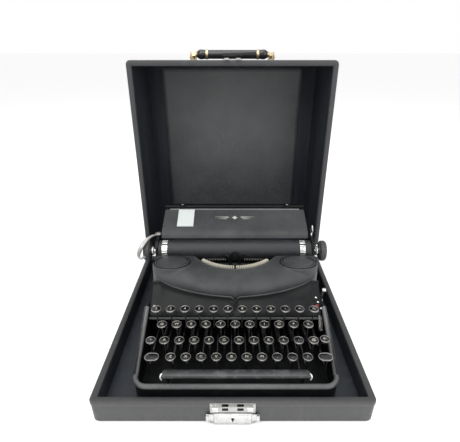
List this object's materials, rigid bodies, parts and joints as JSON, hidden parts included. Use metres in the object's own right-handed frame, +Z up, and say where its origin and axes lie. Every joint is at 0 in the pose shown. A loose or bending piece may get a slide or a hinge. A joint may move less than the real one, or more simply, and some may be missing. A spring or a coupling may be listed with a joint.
{
  "type": "typewriter",
  "caption": "Portable manual typewriter in the tray of its open carrying case, with keyboard, type basket, sliding carriage, platen, ribbon spools, hinged lid and handle.",
  "frame": {"origin": "bottom centre of the case tray", "axes": "+X to the typist's right, +Y to the back of the machine, +Z up"},
  "size_m": [0.34, 0.5036, 0.3987],
  "materials": {
    "case_cover": "black leatherette over board",
    "lining": "dark navy felt paper",
    "lid_sheet": "dark grey textured board",
    "steel": "worn plain steel",
    "bright_metal": "nickel plate with light wear",
    "old_brass": "dull aged brass",
    "grip_plastic": "glossy black",
    "rubber": "black rubber",
    "wrinkle_paint": "black wrinkle enamel, worn grey",
    "dark_paint": "satin black enamel",
    "key_glass": "bright ring round a glossy black top",
    "platen_rubber": "hard black rubber",
    "pale_plate": "pale grey-green lacquer"
  },
  "bodies": {
    "chassis": {"case_tray": "case_cover", "tray_lining": "lining", "tray_hinge_leaves": "steel", "lock_body": "bright_metal", "rubber_feet": "rubber", "base_frame": "wrinkle_paint", "bottom_pan": "dark_paint", "front_apron": "wrinkle_paint", "spool_cowl": "wrinkle_paint", "key_guide_comb": "dark_paint", "lever_rod": "steel", "type_guide": "dark_paint", "carriage_rail": "steel"},
    "lid": {"case_lid": "case_cover", "lid_panel": "lid_sheet", "lid_hinge_leaves": "steel", "lid_hasp": "bright_metal", "handle_brackets": "old_brass"},
    "handle": {"handle_grip": "grip_plastic", "handle_links": "old_brass"},
    "lock_slide": {"lock_slider": "bright_metal"},
    "cover_left": {"spool_cover_left": "wrinkle_paint"},
    "cover_right": {"spool_cover_right": "wrinkle_paint"},
    "spool_left": {"ribbon_spool_left": "dark_paint"},
    "spool_right": {"ribbon_spool_right": "dark_paint"},
    "number_row": {"number_levers": "steel", "number_keys": "key_glass"},
    "upper_row": {"upper_levers": "steel", "upper_keys": "key_glass"},
    "home_row": {"home_levers": "steel", "home_keys": "key_glass"},
    "lower_row": {"lower_levers": "steel", "lower_keys": "key_glass"},
    "centre_letter": {"centre_lever": "steel", "centre_key": "key_glass"},
    "space": {"space_bar": "grip_plastic", "space_bar_arms": "steel"},
    "shift": {"shift_levers": "steel", "shift_keys": "key_glass"},
    "shift_lock": {"shift_lock_key": "key_glass"},
    "backspace": {"backspace_key": "key_glass"},
    "basket": {"type_segment": "steel", "typebars": "steel"},
    "centre_bar": {"centre_typebar": "steel"},
    "vibrator": {"ribbon_vibrator": "dark_paint"},
    "selector": {"ribbon_selector": "bright_metal"},
    "race": {"carriage_race": "steel"},
    "carriage": {"carriage_truck": "wrinkle_paint", "feed_rollers": "platen_rubber", "paper_table": "wrinkle_paint", "margin_rail": "dark_paint"},
    "platen_roll": {"platen": "platen_rubber", "platen_knobs": "grip_plastic"},
    "guide": {"paper_guide": "pale_plate"},
    "stop_left": {"margin_stop_left": "dark_paint"},
    "stop_right": {"margin_stop_right": "dark_paint"},
    "return_arm": {"return_lever": "bright_metal"},
    "release_arm": {"paper_release_lever": "bright_metal"},
    "drum": {"mainspring_drum": "steel"},
    "escapement": {"escapement_wheel": "old_brass"}
  },
  "joints": [
    {"name": "lid_hinge", "type": "hinge", "parent": "chassis", "child": "lid", "pos_m": [0, 0.176, 0.035], "axis": [-1, 0, 0], "range_deg": [-92, 0]},
    {"name": "handle_fold", "type": "hinge", "parent": "lid", "child": "handle", "pos_m": [0, 0.23833, 0.38714], "axis": [-1, 0, 0], "range_deg": [0, 78]},
    {"name": "lock_slide_move", "type": "slide", "parent": "chassis", "child": "lock_slide", "axis": [1, 0, 0], "range_m": [0, 0.002]},
    {"name": "cover_left_lift", "type": "slide", "parent": "chassis", "child": "cover_left", "axis": [0, 0.1736, 0.9848], "range_m": [0, 0.025]},
    {"name": "cover_right_lift", "type": "slide", "parent": "chassis", "child": "cover_right", "axis": [0, 0.1736, 0.9848], "range_m": [0, 0.025]},
    {"name": "spool_left_turn", "type": "hinge", "parent": "chassis", "child": "spool_left", "pos_m": [-0.09, 0.008, 0.119], "axis": [0, 0.1736, 0.9848], "continuous": true},
    {"name": "spool_right_turn", "type": "hinge", "parent": "chassis", "child": "spool_right", "pos_m": [0.098, 0.008, 0.119], "axis": [0, 0.1736, 0.9848], "continuous": true},
    {"name": "number_press", "type": "hinge", "parent": "chassis", "child": "number_row", "pos_m": [0.004, 0.05, 0.036], "axis": [1, 0, 0], "range_deg": [0, 4], "stiffness_Nm_per_rad": 1.2, "springref_deg": -11.46},
    {"name": "upper_press", "type": "hinge", "parent": "chassis", "child": "upper_row", "pos_m": [0.004, 0.05, 0.036], "axis": [1, 0, 0], "range_deg": [0, 4], "stiffness_Nm_per_rad": 1.2, "springref_deg": -11.46},
    {"name": "home_press", "type": "hinge", "parent": "chassis", "child": "home_row", "pos_m": [0.004, 0.05, 0.036], "axis": [1, 0, 0], "range_deg": [0, 4], "stiffness_Nm_per_rad": 1.2, "springref_deg": -11.46},
    {"name": "lower_press", "type": "hinge", "parent": "chassis", "child": "lower_row", "pos_m": [0.004, 0.05, 0.036], "axis": [1, 0, 0], "range_deg": [0, 4], "stiffness_Nm_per_rad": 1.2, "springref_deg": -11.46},
    {"name": "centre_letter_press", "type": "hinge", "parent": "chassis", "child": "centre_letter", "pos_m": [0.004, 0.05, 0.036], "axis": [1, 0, 0], "range_deg": [0, 4], "stiffness_Nm_per_rad": 1.2, "springref_deg": -11.46},
    {"name": "space_press", "type": "hinge", "parent": "chassis", "child": "space", "pos_m": [0.004, 0.05, 0.036], "axis": [1, 0, 0], "range_deg": [0, 3], "stiffness_Nm_per_rad": 1.2, "springref_deg": -11.46},
    {"name": "shift_press", "type": "hinge", "parent": "chassis", "child": "shift", "pos_m": [0.004, 0.05, 0.036], "axis": [1, 0, 0], "range_deg": [0, 4], "stiffness_Nm_per_rad": 1.2, "springref_deg": -11.46},
    {"name": "shift_lock_press", "type": "hinge", "parent": "shift", "child": "shift_lock", "pos_m": [0.004, -0.1019, 0.048], "axis": [1, 0, 0], "range_deg": [0, 6], "stiffness_Nm_per_rad": 0.05, "springref_deg": -11.46},
    {"name": "backspace_press", "type": "hinge", "parent": "chassis", "child": "backspace", "pos_m": [0.004, 0.05, 0.036], "axis": [1, 0, 0], "range_deg": [0, 4], "stiffness_Nm_per_rad": 0.3, "springref_deg": -11.46},
    {"name": "basket_shift", "type": "slide", "parent": "chassis", "child": "basket", "axis": [0, 0, -1], "range_m": [0, 0.006]},
    {"name": "centre_bar_swing", "type": "hinge", "parent": "basket", "child": "centre_bar", "pos_m": [0.004, 0.023, 0.083], "axis": [-1, 0, 0], "range_deg": [0, 72]},
    {"name": "vibrator_lift", "type": "slide", "parent": "chassis", "child": "vibrator", "axis": [0, 0, 1], "range_m": [0, 0.008]},
    {"name": "selector_turn", "type": "hinge", "parent": "chassis", "child": "selector", "pos_m": [0.1305, -0.024, 0.072], "axis": [1, 0, 0], "range_deg": [0, 25]},
    {"name": "race_slide", "type": "slide", "parent": "chassis", "child": "race", "axis": [-1, 0, 0], "range_m": [0, 0.1]},
    {"name": "carriage_slide", "type": "slide", "parent": "race", "child": "carriage", "axis": [1, 0, 0], "range_m": [0, 0.1]},
    {"name": "platen_turn", "type": "hinge", "parent": "carriage", "child": "platen_roll", "pos_m": [0.004, 0.061, 0.109], "axis": [1, 0, 0], "continuous": true},
    {"name": "paper_guide_slide", "type": "slide", "parent": "carriage", "child": "guide", "axis": [1, 0, 0], "range_m": [-0.015, 0.04]},
    {"name": "margin_left_slide", "type": "slide", "parent": "carriage", "child": "stop_left", "axis": [1, 0, 0], "range_m": [0, 0.06]},
    {"name": "margin_right_slide", "type": "slide", "parent": "carriage", "child": "stop_right", "axis": [-1, 0, 0], "range_m": [0, 0.06]},
    {"name": "return_swing", "type": "hinge", "parent": "carriage", "child": "return_arm", "pos_m": [-0.1205, 0.074, 0.133], "axis": [0, 0, 1], "range_deg": [0, 25], "stiffness_Nm_per_rad": 0.02, "springref_deg": -5.73},
    {"name": "release_swing", "type": "hinge", "parent": "carriage", "child": "release_arm", "pos_m": [0.132, 0.088, 0.112], "axis": [1, 0, 0], "range_deg": [0, 30]},
    {"name": "drum_turn", "type": "hinge", "parent": "chassis", "child": "drum", "pos_m": [-0.082, 0.11, 0.06], "axis": [0, 1, 0], "range_deg": [0, 300]},
    {"name": "escapement_turn", "type": "hinge", "parent": "chassis", "child": "escapement", "pos_m": [0.044, 0.11, 0.066], "axis": [0, 1, 0], "continuous": true}
  ],
  "couplings": [
    {"joint": "centre_bar_swing", "follows": "centre_letter_press", "ratio": 16.8},
    {"joint": "vibrator_lift", "follows": "centre_letter_press", "m_per_rad": 0.11},
    {"joint": "basket_shift", "follows": "shift_press", "m_per_rad": 0.085},
    {"joint": "spool_right_turn", "follows": "spool_left_turn", "ratio": 1},
    {"joint": "drum_turn", "follows": "carriage_slide", "rad_per_m": 50}
  ]
}
